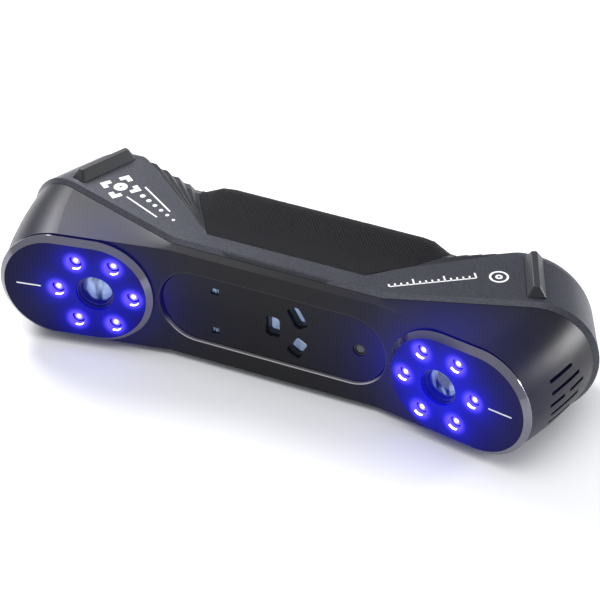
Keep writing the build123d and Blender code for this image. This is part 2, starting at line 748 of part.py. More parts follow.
# ---------------------------------------------------------------- centre window and what looks through it
def make_centre_window():
    with BuildPart() as window:
        with BuildSketch(facing_front(window_seat_y)):
            window_stadium(0)
        extrude(amount=window_thick)
        chamfer(window.faces().sort_by(Axis.Y)[0].edges(), window_chamfer)
        with BuildSketch(facing_front(window_seat_y)):
            for place in projector_places.values():
                projector_outline(place, 0)
            with Locations(*flash_places):
                Rectangle(*flash_hole)
            with Locations((colour_camera_x, 0)):
                Circle(colour_hole / 2)
        extrude(amount=window_thick, mode=Mode.SUBTRACT)
    return window.part


def make_projector(place):
    """One pattern projector: a sleeve behind the window, with its barrel carried by the bench."""
    sleeve_back = window_seat_y + projector_sleeve
    with BuildPart() as projector:
        with BuildSketch(facing_front(sleeve_back)):
            projector_outline(place, projector_wall)
        extrude(amount=projector_sleeve)
        with BuildSketch(facing_front(window_seat_y)):
            projector_outline(place, -0.5)
        extrude(amount=-projector_glass_back - projector_glass, mode=Mode.SUBTRACT)
        with BuildSketch(facing_front(bench_middle_y)):
            with Locations((place[0], place[1])):
                Circle(projector_hole[0] / 2 + projector_wall)
        extrude(amount=bench_middle_y - sleeve_back)
    return projector.part


def make_projector_glass(place):
    with BuildPart() as glass:
        with BuildSketch(facing_front(window_seat_y + projector_glass_back + projector_glass)):
            projector_outline(place, -0.5)
        extrude(amount=projector_glass)
    return glass.part


def make_flash_lamps():
    with BuildPart() as lamps:
        with BuildSketch(facing_front(window_pad_y)):
            with Locations(*flash_places):
                Rectangle(flash_hole[0] - 2 * fit_gap, flash_hole[1] - 2 * fit_gap)
        extrude(amount=window_pad_y - window_y - window_thick * 0.6)
    return lamps.part


def make_colour_camera():
    with BuildPart() as camera:
        with BuildSketch(facing_front(window_pad_y)):
            with Locations((colour_camera_x, 0)):
                RectangleRounded(colour_body, colour_body, 0.6)
        extrude(amount=window_pad_y - window_seat_y)
        with BuildSketch(facing_front(window_seat_y)):
            with Locations((colour_camera_x, 0)):
                Circle(colour_hole / 2 - fit_gap)
        extrude(amount=window_thick * 0.7)
        with BuildSketch(facing_front(window_seat_y)):
            with Locations((colour_camera_x, 0)):
                Circle(colour_hole / 2 - 0.7)
        extrude(amount=window_thick, mode=Mode.SUBTRACT)
    return camera.part


def make_colour_lens():
    with BuildPart() as lens:
        with BuildSketch(facing_front(window_seat_y)):
            with Locations((colour_camera_x, 0)):
                Circle(colour_hole / 2 - 0.7)
        extrude(amount=window_thick * 0.5)
        fillet(lens.faces().sort_by(Axis.Y)[0].edges(), window_thick * 0.25)
    return lens.part


def make_front_board():
    """Circuit board against the window's pad, with holes for the sleeves and the posts."""
    with BuildPart() as board:
        with BuildSketch(facing_front(window_pad_y + board_thick)):
            RectangleRounded(2 * bend_x, 2 * post_place[1] + 1.2, 1.0)
            with BuildSketch(mode=Mode.SUBTRACT):
                for place in projector_places.values():
                    projector_outline(place, projector_wall + fit_gap)
                with at_posts():
                    Circle(post_radius + fit_gap)
        extrude(amount=board_thick)
    return board.part


# ---------------------------------------------------------------- bench, boards and cooling
def make_optical_bench():
    """Folded aluminium strip that holds both cameras and the projectors at their angles."""
    def wing_point(along, behind):
        return (pod_x + along * cos(toe) + behind * sin(toe), lens_y - along * sin(toe) + behind * cos(toe))
    fold = sensor_board_side / 2
    rear = bench_back + bench_thick
    right = [(bench_flat, bench_middle_y), wing_point(-fold, bench_back), wing_point(bench_reach, bench_back),
             wing_point(bench_reach, rear), wing_point(-fold, rear),
             (bench_flat, bench_middle_y + bench_thick)]
    outline = right + [(-x, y) for x, y in reversed(right)]
    window_x = wing_point(-fold, bench_back)[0] + 1.0 - bench_window[0] / 2
    with BuildPart() as bench:
        add(plan_prism(outline, mid_z - bench_height / 2, mid_z + bench_height / 2))
        with BuildSketch(facing_front(board_y)):
            with GridLocations(2 * window_x, 0.1, 2, 1):
                RectangleRounded(bench_window[0], bench_window[1], 1.0)
            with at_posts():
                Circle(screw_shank)
        extrude(amount=2 * board_y - face_y, mode=Mode.SUBTRACT)
    return bench.part


def make_main_board():
    with BuildPart() as board:
        with BuildSketch(facing_front(board_y + board_thick)):
            RectangleRounded(main_board[0], main_board[1], 1.0)
        extrude(amount=board_thick)
    return board.part


def make_board_spacers():
    with BuildPart() as spacers:
        with BuildSketch(facing_front(board_y)):
            with GridLocations(main_board[0] / 4, main_board[1] - 3 * spacer_radius, 2, 2):
                RegularPolygon(spacer_radius, 6)
        extrude(amount=spacer_long)
    return spacers.part


def make_chips():
    with BuildPart() as chips:
        with BuildSketch(facing_front(board_y + board_thick + chip_thick)):
            for across, up, side in chip_places:
                with Locations((across, up)):
                    Rectangle(side, side)
        extrude(amount=chip_thick)
    return chips.part


def make_heat_sink():
    base_y = board_y + board_thick + chip_thick + sink_base
    with BuildPart() as sink:
        with BuildSketch(facing_front(base_y)):
            Rectangle(sink_size, sink_size)
        extrude(amount=sink_base)
        with BuildSketch(facing_front(base_y + sink_deep)):
            with GridLocations((sink_size - fin_thick) / (fin_count - 1), 0.1, fin_count, 1):
                Rectangle(fin_thick, sink_size)
        extrude(amount=sink_deep)
    return sink.part


def make_sensor_cable(side):
    """Flat cable from a sensor board, through the bench's window, to the main board."""
    fold = sensor_board_side / 2
    behind = bench_back - board_thick / 2
    start = (pod_x - fold * cos(toe) + behind * sin(toe), lens_y + fold * sin(toe) + behind * cos(toe))
    end_x = main_board[0] / 2 - 2.0
    points = [start, (end_x, bench_middle_y), (end_x, board_y)]
    path = points + [(x - cable_thick, y) for x, y in reversed(points)]
    return plan_prism([(side * x, y) for x, y in path], mid_z - cable_high / 2, mid_z + cable_high / 2)


def fan_plane(offset):
    """Plane across the fan's axle, 'offset' outwards of the frame's inner face."""
    return Plane(origin=(fan_centre[0] - fan_thick / 2 + offset, fan_y, mid_z), x_dir=(0, 1, 0),
                 z_dir=(1, 0, 0))


def make_fan_frame():
    with BuildPart() as frame:
        with BuildSketch(fan_plane(0)):
            RectangleRounded(fan_side, fan_side, 2.0)
            Circle(fan_bore, mode=Mode.SUBTRACT)
        extrude(amount=fan_thick)
        with BuildSketch(fan_plane(0)):
            Circle(fan_hub)
            with PolarLocations(fan_bore / 2, 3):
                Rectangle(fan_bore + fan_strut, fan_strut)
        extrude(amount=fan_plate)
        with BuildSketch(fan_plane(fan_plate)):
            Circle(fan_pin)
        extrude(amount=fan_thick / 2)
    return frame.part


def make_fan_rotor():
    start, top = fan_plate + 2 * fit_gap, fan_thick - fit_gap
    blade_mid = (start + top) / 2
    with BuildPart() as rotor:
        with BuildSketch(fan_plane(start)):
            Circle(fan_hub)
        extrude(amount=top - start)
        for i in range(fan_blades):
            turn = 2 * pi * i / fan_blades
            outward, onward = Vector(0, cos(turn), sin(turn)), Vector(0, -sin(turn), cos(turn))
            chord = Vector(cos(fan_pitch), 0, 0) + onward * sin(fan_pitch)
            with BuildSketch(Plane(origin=fan_plane(blade_mid).origin, x_dir=chord, z_dir=outward)):
                Rectangle(top - start, fan_blade_thick)
            extrude(amount=fan_bore - fan_tip_gap)
        with BuildSketch(fan_plane(start)):
            Circle(fan_pin + fan_pin_gap)
        extrude(amount=fan_plate + fan_thick / 2 + fit_gap - start, mode=Mode.SUBTRACT)
    return rotor.part


# ---------------------------------------------------------------- controls
def button_place(name):
    return {"scan_button": 0.0, "plus_button": button_pitch, "minus_button": -button_pitch}[name]


def make_button_plate():
    with BuildPart() as plate:
        with BuildSketch(facing_front(plate_out_y)):
            SlotOverall(*button_plate)
        extrude(amount=button_plate_thick)
        chamfer(plate.faces().sort_by(Axis.Y)[-1].edges(), 0.6)
        with BuildSketch(facing_front(plate_out_y)):
            for name, radius in button_radii.items():
                with Locations((button_place(name), 0)):
                    Circle(radius + button_gap)
            with Locations(status_light_at):
                Circle(status_light_radius)
        extrude(amount=button_plate_thick, mode=Mode.SUBTRACT)
    return plate.part


def make_button(name):
    radius = button_radii[name]
    flange_out_y = plate_in_y - button_rest_gap
    with BuildPart() as button:
        with BuildSketch(facing_front(plate_out_y + button_proud)):
            with Locations((button_place(name), 0)):
                Circle(radius)
        extrude(amount=plate_out_y + button_proud - flange_out_y)
        fillet(button.faces().sort_by(Axis.Y)[-1].edges(), 0.5)
        with BuildSketch(facing_front(flange_out_y)):
            with Locations((button_place(name), 0)):
                Circle(radius + button_flange[0])
        extrude(amount=button_flange[1])
        with BuildSketch(facing_front(flange_in_y)):
            with Locations((button_place(name), 0)):
                Circle(button_stem[0])
        extrude(amount=button_stem[1])
    return button.part


def make_status_light():
    with BuildPart() as light:
        with BuildSketch(facing_front(plate_out_y)):
            with Locations(status_light_at):
                Circle(status_light_radius)
        extrude(amount=button_plate_thick)
    return light.part


def make_button_board():
    with BuildPart() as board:
        with BuildSketch(facing_front(button_board_y)):
            RectangleRounded(button_plate[0] + button_ledge, 2 * button_radii["scan_button"], 1.0)
        extrude(amount=board_thick)
    return board.part


def make_switches():
    with BuildPart() as switches:
        for name in button_radii:
            with BuildSketch(facing_front(button_board_y + switch_body[1])):
                with Locations((button_place(name), 0)):
                    Rectangle(switch_body[0], switch_body[0])
            extrude(amount=switch_body[1])
            with BuildSketch(facing_front(switch_y)):
                with Locations((button_place(name), 0)):
                    Circle(switch_plunger[0])
            extrude(amount=switch_plunger[1])
    return switches.part


# ---------------------------------------------------------------- socket, thread and screws
def make_usb_shell():
    with BuildPart() as shell:
        with BuildSketch(socket_plane(socket_recess[2] + usb_long)):
            SlotOverall(*usb_shell)
        extrude(amount=usb_long)
        with BuildSketch(socket_plane(socket_recess[2] + usb_long - usb_wall)):
            SlotOverall(usb_shell[0] - 2 * usb_wall, usb_shell[1] - 2 * usb_wall)
        extrude(amount=usb_long, mode=Mode.SUBTRACT)
    return shell.part


def make_usb_tongue():
    with BuildPart() as tongue:
        with BuildSketch(socket_plane(socket_recess[2] + usb_long - usb_wall)):
            Rectangle(usb_tongue[0], usb_tongue[1])
        extrude(amount=usb_tongue[2])
    return tongue.part


def make_socket_board():
    with BuildPart() as board:
        with BuildSketch(socket_plane(socket_recess[2] + usb_long + socket_board[2])):
            Rectangle(socket_board[1], socket_board[0])
        extrude(amount=socket_board[2])
    return board.part


def make_tripod_insert():
    with BuildPart() as insert:
        with BuildSketch(Plane.XY.offset(tripod_mouth)):
            with Locations((0, back_y - tripod_from_back)):
                Circle(tripod_outer / 2)
                Circle(tripod_bore / 2, mode=Mode.SUBTRACT)
        extrude(amount=tripod_long)
    return insert.part


def make_housing_screws():
    with BuildPart() as screws:
        with BuildSketch(facing_front(seat_y)):
            with at_screws():
                Circle(screw_shank)
        extrude(amount=screw_long)
        with BuildSketch(facing_front(seat_y + screw_head_high)):
            with at_screws():
                Circle(screw_head)
                RegularPolygon(screw_head / 2, 6, mode=Mode.SUBTRACT)
        extrude(amount=screw_head_high * 0.6)
        with BuildSketch(facing_front(seat_y + screw_head_high * 0.4)):
            with at_screws():
                Circle(screw_head)
        extrude(amount=screw_head_high * 0.4)
    return screws.part


def make_bench_screws():
    with BuildPart() as screws:
        with BuildSketch(facing_front(bench_middle_y + bench_thick)):
            with at_posts():
                Circle(screw_shank)
        extrude(amount=bench_thick)
        with BuildSketch(facing_front(bench_middle_y + bench_thick + screw_head_high)):
            with at_posts():
                Circle(screw_head)
        extrude(amount=screw_head_high)
    return screws.part


os.makedirs("parts", exist_ok=True)
save(make_front_housing(), "front_housing")
save(make_rear_housing(), "rear_housing")
save(make_grip_cover(), "grip_cover")
save(make_centre_window(), "centre_window")
for name, place in projector_places.items():
    save(make_projector(place), f"{name}_projector")
    save(make_projector_glass(place), f"{name}_projector_glass")
save(make_flash_lamps(), "flash_lamps")
save(make_colour_camera(), "colour_camera")
save(make_colour_lens(), "colour_camera_lens")
save(make_front_board(), "front_board")
save(make_optical_bench(), "optical_bench")
save(make_main_board(), "main_board")
save(make_board_spacers(), "board_spacers")
save(make_chips(), "board_chips")
save(make_heat_sink(), "heat_sink")
save(make_fan_frame(), "fan_frame")
save(make_fan_rotor(), "fan_rotor")
save(make_button_plate(), "button_plate")
for name in button_radii:
    save(make_button(name), name)
save(make_status_light(), "status_light")
save(make_button_board(), "button_board")
save(make_switches(), "button_switches")
save(make_usb_shell(), "usb_shell")
save(make_usb_tongue(), "usb_tongue")
save(make_socket_board(), "socket_board")
save(make_tripod_insert(), "tripod_insert")
save(make_housing_screws(), "housing_screws")
save(make_bench_screws(), "bench_screws")
for word, side in sides.items():
    save(make_rib(side), f"bumper_rib_{word}")
    save(make_lens_cover(side), f"lens_cover_{word}")
    save(make_index_mark(side), f"index_mark_{word}")
    save(make_cover_gasket(side), f"cover_gasket_{word}")
    save(make_lens_shroud(side), f"lens_shroud_{word}")
    save(make_lens_barrel(side), f"lens_barrel_{word}")
    save(make_lens_glass(side), f"lens_glass_{word}")
    save(make_camera_body(side), f"camera_body_{word}")
    save(make_sensor_board(side), f"sensor_board_{word}")
    save(make_lamp_board(side), f"lamp_board_{word}")
    save(make_lamps(side), f"lamp_ring_{word}")
    save(make_sensor_cable(side), f"sensor_cable_{word}")
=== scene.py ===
import bmesh
import bpy
import json
from math import atan2, cos, pi, radians, sin
from mathutils import Matrix, Vector


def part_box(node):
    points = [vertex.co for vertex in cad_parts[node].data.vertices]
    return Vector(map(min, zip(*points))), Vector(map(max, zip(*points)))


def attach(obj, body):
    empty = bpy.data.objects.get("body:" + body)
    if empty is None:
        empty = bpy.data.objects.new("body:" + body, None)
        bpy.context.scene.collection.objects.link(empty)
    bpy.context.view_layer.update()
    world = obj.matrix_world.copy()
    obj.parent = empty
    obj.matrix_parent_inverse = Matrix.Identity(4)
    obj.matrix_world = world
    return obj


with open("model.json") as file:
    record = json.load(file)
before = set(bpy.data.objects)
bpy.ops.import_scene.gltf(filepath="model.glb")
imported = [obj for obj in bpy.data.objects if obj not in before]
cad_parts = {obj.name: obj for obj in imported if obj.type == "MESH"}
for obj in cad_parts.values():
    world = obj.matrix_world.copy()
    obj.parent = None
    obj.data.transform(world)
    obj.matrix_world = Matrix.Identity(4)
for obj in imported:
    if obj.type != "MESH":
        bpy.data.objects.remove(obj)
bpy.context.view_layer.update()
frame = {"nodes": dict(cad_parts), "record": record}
nodes = frame["nodes"]
mm = 0.001


def middle(node):
    low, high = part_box(node)
    return (low + high) / 2


# a pod is the lens cover of one wing; its local frame starts on the lens axis and leans by the toe-in
pod = {"centre": middle("lamp_ring_right"), "toeIn": radians(10.25),
       "flatRadius": 18.55 * mm, "span": 14.55 * mm,      # the cover's flat face: a stadium
       "lamps": 6, "lampCircle": 13.6 * mm,
       "leftShare": 0.5}                                  # the left pod's painted blue spill against the right one's
toMark = middle("index_mark_right") - pod["centre"]
pod["faceDepth"] = toMark.x * sin(pod["toeIn"]) + toMark.y * cos(pod["toeIn"])

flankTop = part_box("rear_housing")[1].z
windowLow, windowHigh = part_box("centre_window")
window = {"radius": (windowHigh.z - windowLow.z) / 2, "edge": 0.62 * mm}
window["flatHalf"] = (windowHigh.x - windowLow.x) / 2 - window["radius"]

black = (0, 0, 0, 1)


# short spellings for the nodes and links of one tree
class Net:
    def __init__(self, tree):
        self.tree = tree
        self.column = 0

    def add(self, kind, **settings):
        node = self.tree.nodes.new(kind)
        node.location = (180 * self.column, -40 * (len(self.tree.nodes) % 12))
        self.column += 1
        for key, value in settings.items():
            setattr(node, key, value)
        return node

    def put(self, value, socket):
        if isinstance(value, bpy.types.NodeSocket):
            self.tree.links.new(value, socket)
        else:
            socket.default_value = value

    def math(self, operation, a, b=None):
        node = self.add("ShaderNodeMath", operation=operation)
        self.put(a, node.inputs[0])
        if b is not None:
            self.put(b, node.inputs[1])
        return node.outputs[0]

    def plus(self, a, b):
        return self.math("ADD", a, b)

    def minus(self, a, b):
        return self.math("SUBTRACT", a, b)

    def times(self, a, b):
        return self.math("MULTIPLY", a, b)

    def reach(self, a, b):      # the length of a flat vector
        return self.math("POWER", self.plus(self.math("POWER", a, 2.0), self.math("POWER", b, 2.0)), 0.5)

    def fade(self, away, scale):      # one at the source, less with distance
        return self.math("EXPONENT", self.math("DIVIDE", self.times(away, -1.0), scale))

    def blend(self, share, first, second):
        node = self.add("ShaderNodeMix", data_type="RGBA")
        self.put(share, node.inputs["Factor"])
        self.put(first, node.inputs[6])
        self.put(second, node.inputs[7])
        return node.outputs[2]

    def span(self, value, low, high, toLow=0.0, toHigh=1.0, smooth=False):
        node = self.add("ShaderNodeMapRange", interpolation_type="SMOOTHSTEP" if smooth else "LINEAR")
        self.put(value, node.inputs["Value"])
        ends = {"From Min": low, "From Max": high, "To Min": toLow, "To Max": toHigh}
        for socket, number in ends.items():
            self.put(number, node.inputs[socket])
        return node.outputs[0]

    def noise(self, vector, scale, detail=3.0, rough=0.5):
        node = self.add("ShaderNodeTexNoise")
        self.put(vector, node.inputs["Vector"])
        self.put(scale, node.inputs["Scale"])
        self.put(detail, node.inputs["Detail"])
        self.put(rough, node.inputs["Roughness"])
        return node.outputs["Fac"]

    def place(self):
        return self.add("ShaderNodeTexCoord").outputs["Object"]

    def axes(self, vector):
        node = self.add("ShaderNodeSeparateXYZ")
        self.put(vector, node.inputs[0])
        return node.outputs


def newGroup(name, inputs, outputs):
    tree = bpy.data.node_groups.new(name, "ShaderNodeTree")
    for label, value in inputs.items():
        socket = tree.interface.new_socket(label, in_out="INPUT", socket_type="NodeSocketFloat")
        socket.default_value = value
    for label in outputs:
        tree.interface.new_socket(label, in_out="OUTPUT", socket_type="NodeSocketFloat")
    net = Net(tree)
    return tree, net, net.add("NodeGroupInput").outputs, net.add("NodeGroupOutput").inputs


# the fine grain of a moulding, in broad patches that are a little rougher or smoother
def makeGrain():
    settings = {"Scale": 2500.0, "Base": 0.4, "Spread": 0.1}
    tree, net, given, out = newGroup("mouldedGrain", settings, ("Rough", "Height", "Patch"))
    place = net.place()
    fine = net.noise(place, given["Scale"], detail=2.0, rough=0.6)
    patch = net.noise(place, 45.0, detail=4.0, rough=0.55)
    swing = net.times(net.minus(patch, 0.5), given["Spread"])
    finer = net.times(net.minus(fine, 0.5), net.times(given["Spread"], 0.5))
    net.put(net.plus(given["Base"], net.plus(swing, finer)), out["Rough"])
    net.put(fine, out["Height"])
    net.put(patch, out["Patch"])
    return tree


# metal flakes in paint
def makeFlakes():
    tree, net, given, out = newGroup("paintFlakes", {"Scale": 3200.0}, ("Flake", "Height"))
    cells = net.add("ShaderNodeTexVoronoi")
    net.put(net.place(), cells.inputs["Vector"])
    net.put(given["Scale"], cells.inputs["Scale"])
    perCell = net.add("ShaderNodeSeparateColor")
    net.put(cells.outputs["Color"], perCell.inputs[0])
    net.put(perCell.outputs[0], out["Flake"])
    net.put(perCell.outputs[1], out["Height"])
    return tree


# raised diamonds that follow the grip from its top, over its back, to its underside
def makeGripWeave():
    tree, net, given, out = newGroup("gripWeave", {"Pitch": 1.0 * mm}, ("Height", "Fleck"))
    axes = net.axes(net.place())
    drop = net.math("ABSOLUTE", net.minus(axes[2], middle("grip_cover").z))
    aroundGrip = net.minus(axes[1], drop)
    turn = net.math("DIVIDE", pi, given["Pitch"])
    oneWay = net.times(net.plus(axes[0], aroundGrip), turn)
    otherWay = net.times(net.minus(axes[0], aroundGrip), turn)
    diamonds = net.times(net.math("SINE", oneWay), net.math("SINE", otherWay))
    net.put(net.span(net.math("ABSOLUTE", diamonds), 0.05, 0.75, smooth=True), out["Height"])
    net.put(net.noise(net.place(), 900.0, detail=3.0, rough=0.6), out["Fleck"])
    return tree


# a point in the nearer pod's own frame: across the face, up it and into it
def intoPod(net, axes):
    folded = net.add("ShaderNodeCombineXYZ")
    net.put(net.math("ABSOLUTE", axes[0]), folded.inputs[0])
    net.put(axes[1], folded.inputs[1])
    net.put(axes[2], folded.inputs[2])
    local = net.add("ShaderNodeMapping", vector_type="TEXTURE")
    net.put(folded.outputs[0], local.inputs["Vector"])
    net.put(tuple(pod["centre"]), local.inputs["Location"])
    net.put((0, 0, -pod["toeIn"]), local.inputs["Rotation"])
    inPod = net.axes(local.outputs[0])
    return inPod[0], inPod[2], inPod[1]


# how far the nearest lamp's axis is, and that distance's parts across and up
def toNearestLamp(net, across, up):
    radius = net.reach(across, up)
    angle = net.math("ARCTAN2", up, across)
    sector = 2 * pi / pod["lamps"]
    turned = net.math("FLOORED_MODULO", net.plus(angle, sector / 2), sector)
    inSector = net.minus(turned, sector / 2)
    along = net.minus(net.times(radius, net.math("COSINE", inSector)), pod["lampCircle"])
    lampFar = net.reach(along, net.times(radius, net.math("SINE", inSector)))
    lampAngle = net.minus(angle, inSector)
    lampAcross = net.minus(across, net.times(net.math("COSINE", lampAngle), pod["lampCircle"]))
    lampUp = net.minus(up, net.times(net.math("SINE", lampAngle), pod["lampCircle"]))
    return radius, lampFar, lampAcross, lampUp


# a mask for the painted highlight along the rim round the lower half of the centre window, where the light
# catches it
def windowEdgeHighlight(net, axes):
    pastFlat = net.math("MAXIMUM", net.minus(net.math("ABSOLUTE", axes[0]), window["flatHalf"]), 0.0)
    level = net.minus(axes[2], pod["centre"].z)
    fromMiddle = net.minus(net.reach(pastFlat, level), window["radius"] + window["edge"] / 2)
    sharp = net.span(net.math("ABSOLUTE", fromMiddle), window["edge"] * 0.45, window["edge"] * 0.55, 1.0, 0.0)
    below = net.span(level, window["radius"] * -0.45, window["radius"] * -0.98, 0.03, 1.0, smooth=True)
    return net.times(sharp, below)


# the lamps' light painted on what is near them, on both halves of the scanner
def makePodGlow():
    outputs = ("Lamps", "Spill", "Chamfer", "LampFar", "LampAcross", "LampUp", "Deep", "WindowEdgeHighlight")
    tree, net, given, out = newGroup("podGlow", {"Reach": 3.0 * mm, "Wide": 22.0 * mm}, outputs)
    axes = net.axes(net.place())
    across, up, deep = intoPod(net, axes)
    radius, lampFar, lampAcross, lampUp = toNearestLamp(net, across, up)
    net.put(lampFar, out["LampFar"])
    net.put(lampAcross, out["LampAcross"])
    net.put(lampUp, out["LampUp"])
    net.put(deep, out["Deep"])
    net.put(net.fade(lampFar, given["Reach"]), out["Lamps"])
    side = net.span(axes[0], -20 * mm, 20 * mm, pod["leftShare"], 1.0, smooth=True)
    net.put(net.times(net.fade(net.reach(radius, deep), given["Wide"]), side), out["Spill"])
    onSpan = net.math("MINIMUM", net.math("MAXIMUM", across, 0.0), pod["span"])
    fromSpine = net.reach(net.minus(across, onSpan), up)
    rim = net.span(fromSpine, pod["flatRadius"] - 0.02 * mm, pod["flatRadius"] + 0.08 * mm)
    net.put(rim, out["Chamfer"])
    net.put(windowEdgeHighlight(net, axes), out["WindowEdgeHighlight"])
    return tree


groups = {"grain": makeGrain(), "flakes": makeFlakes(), "weave": makeGripWeave(), "glow": makePodGlow()}
print("stage: shader groups")


def newMaterial(name):
    material = bpy.data.materials.new(name)
    material.use_nodes = True
    net = Net(material.node_tree)
    return material, net, material.node_tree.nodes["Principled BSDF"].inputs


def useGroup(net, which, **values):
    node = net.add("ShaderNodeGroup", node_tree=groups[which])
    for key, value in values.items():
        node.inputs[key].default_value = value
    return node.outputs


def bump(net, height, distance, strength, normal=None):
    node = net.add("ShaderNodeBump")
    net.put(height, node.inputs["Height"])
    node.inputs["Distance"].default_value = distance
    node.inputs["Strength"].default_value = strength
    if normal is not None:
        net.put(normal, node.inputs["Normal"])
    return node.outputs[0]


# painted blue lamp light, given out as emission over a dark surface
def paintLampSpill(net, shader, glow, blue, strength):
    net.put(net.blend(glow["Spill"], black, blue), shader["Emission Color"])
    shader["Emission Strength"].default_value = strength


# a moulded, cast or plated surface, mottled between two colours
def plainFinish(name, dark, light, rough, spread=0.1, metallic=0.0, scale=2500.0, height=0.02):
    material, net, shader = newMaterial(name)
    grain = useGroup(net, "grain", Scale=scale, Base=rough, Spread=spread)
    net.put(net.blend(grain["Patch"], (*dark, 1), (*light, 1)), shader["Base Color"])
    net.put(grain["Rough"], shader["Roughness"])
    net.put(bump(net, grain["Height"], height * mm, 0.3), shader["Normal"])
    shader["Metallic"].default_value = metallic
    return material


# the rim colour is a painted highlight along the window's lower rim; the blue is the lamps' light painted on
# the housing
frontLook = {"dark": (0.004, 0.004, 0.0055, 1), "light": (0.007, 0.007, 0.009, 1), "rough": 0.36,
             "rim": (0.5, 0.48, 0.48, 1), "rimMetal": 0.8,
             "blue": (0.006, 0.007, 1.0, 1), "blueWide": 7.0 * mm, "blueStrength": 2.6, "specular": 0.24}


def frontFinish(look):
    material, net, shader = newMaterial("satinBlackHousing")
    grain = useGroup(net, "grain", Scale=2200.0, Base=look["rough"], Spread=0.1)
    glow = useGroup(net, "glow", Wide=look["blueWide"])
    body = net.blend(grain["Patch"], look["dark"], look["light"])
    # painted highlight: the window's lower rim is made bright and metallic
    net.put(net.blend(glow["WindowEdgeHighlight"], body, look["rim"]), shader["Base Color"])
    net.put(net.times(glow["WindowEdgeHighlight"], look["rimMetal"]), shader["Metallic"])
    net.put(grain["Rough"], shader["Roughness"])
    net.put(bump(net, grain["Height"], 0.015 * mm, 0.3), shader["Normal"])
    # painted lamp light: the lamps' blue spill on the housing
    paintLampSpill(net, shader, glow, look["blue"], look["blueStrength"])
    shader["Specular IOR Level"].default_value = look["specular"]
    return material


rearLook = {"dark": (0.022, 0.023, 0.032, 1), "light": (0.034, 0.036, 0.047, 1), "rough": 0.38,
            "flake": (0.17, 0.175, 0.21, 1), "flakeShare": 0.24, "metallic": 0.4, "specular": 0.3}
# the pleats lie behind a line that starts here and slopes back; painted shade darkens their lowered faces
pleatZone = {"from": (29.5 * mm, -8.6 * mm), "slope": 0.82, "soft": 1.2 * mm, "shade": 0.7,
             "colour": (0.006, 0.0065, 0.009, 1), "lowFrom": 0.1 * mm, "lowTo": 0.8 * mm}


def pleatShade(net, zone):
    axes = net.axes(net.place())
    outward = net.minus(net.math("ABSOLUTE", axes[0]), zone["from"][0])
    back = net.minus(axes[1], zone["from"][1])
    behind = net.minus(back, net.times(outward, zone["slope"]))
    inside = net.span(behind, 0.0, zone["soft"], smooth=True)
    level = net.math("ABSOLUTE", net.minus(axes[2], pod["centre"].z))
    halfHigh = flankTop - pod["centre"].z
    lowered = net.span(level, halfHigh - zone["lowFrom"], halfHigh - zone["lowTo"], smooth=True)
    return net.times(net.times(inside, lowered), zone["shade"])


def rearFinish(look, zone):
    material, net, shader = newMaterial("gunmetalPaint")
    grain = useGroup(net, "grain", Scale=2400.0, Base=look["rough"], Spread=0.12)
    flakes = useGroup(net, "flakes", Scale=4200.0)
    patched = net.blend(grain["Patch"], look["dark"], look["light"])
    speckled = net.blend(net.times(flakes["Flake"], look["flakeShare"]), patched, look["flake"])
    # painted shade darkens the pleats' lowered faces
    net.put(net.blend(pleatShade(net, zone), speckled, zone["colour"]), shader["Base Color"])
    net.put(grain["Rough"], shader["Roughness"])
    under = bump(net, grain["Height"], 0.02 * mm, 0.35)
    net.put(bump(net, flakes["Height"], 0.015 * mm, 0.45, under), shader["Normal"])
    shader["Metallic"].default_value = look["metallic"]
    shader["Specular IOR Level"].default_value = look["specular"]
    return material


# the weave's grooves are painted near black as shade between the ridges
gripLook = {"pitch": 1.25 * mm, "deep": 0.3 * mm, "rough": 0.62, "specular": 0.12,
            "paintedGrooveShade": (0.0008, 0.0008, 0.0012, 1), "ridge": (0.016, 0.0155, 0.02, 1),
            "fleck": (0.03, 0.029, 0.036, 1), "fleckShare": 0.1}


def gripFinish(look):
    material, net, shader = newMaterial("diamondRubber")
    weave = useGroup(net, "weave", Pitch=look["pitch"])
    grain = useGroup(net, "grain", Scale=1800.0, Base=look["rough"], Spread=0.16)
    # painted shade: the weave's grooves go near black, while its ridges keep the rubber's colour
    colour = net.blend(weave["Height"], look["paintedGrooveShade"], look["ridge"])
    share = net.times(weave["Fleck"], look["fleckShare"])
    net.put(net.blend(share, colour, look["fleck"]), shader["Base Color"])
    net.put(grain["Rough"], shader["Roughness"])
    fine = bump(net, weave["Fleck"], 0.03 * mm, 0.3)
    net.put(bump(net, weave["Height"], look["deep"], 1.0, fine), shader["Normal"])
    shader["Specular IOR Level"].default_value = look["specular"]
    return material


# the hot colour is painted light in the crescent low on each hole's wall
lampHoles = {"wall": 2.6 * mm, "core": 0.85 * mm, "hot": (5.0, 4.6, 6.0, 1),
             "mouth": (0.5 * mm, 0.75 * mm), "lean": 0.3, "low": (-2.1 * mm, -2.4 * mm)}
# the rim colours are the chamfer's painted reflection, darker blue near the lamps; blue and bloom are the
# lamps' light painted on the cover
coverLook = {"dark": (0.003, 0.003, 0.007, 1), "light": (0.005, 0.005, 0.01, 1), "rough": 0.12,
             "rim": (0.2, 0.195, 0.225, 1), "rimNearLamps": (0.02, 0.02, 0.09, 1), "rimMetal": 0.85,
             "blue": (0.006, 0.008, 1.0, 1), "lampReach": 2.9 * mm, "blueWide": 11.0 * mm,
             "bloom": (0.22, 0.14, 2.2, 1), "bloomShare": 0.8, "strength": 1.3, "specular": 0.12}


# a painted lit crescent: lamp light low on the wall of each lamp hole
def lampCrescent(net, glow, holes):
    inHole = net.span(glow["LampFar"], holes["wall"] + 0.01 * mm, holes["wall"] + 0.04 * mm, 1.0, 0.0)
    shallow, deeper = (pod["faceDepth"] + depth for depth in holes["mouth"])
    atMouth = net.span(glow["Deep"], shallow, deeper, 1.0, 0.0)
    slanted = net.plus(glow["LampUp"], net.times(glow["LampAcross"], holes["lean"]))
    low = net.span(slanted, *holes["low"], smooth=True)
    return net.times(net.times(inHole, atMouth), low)


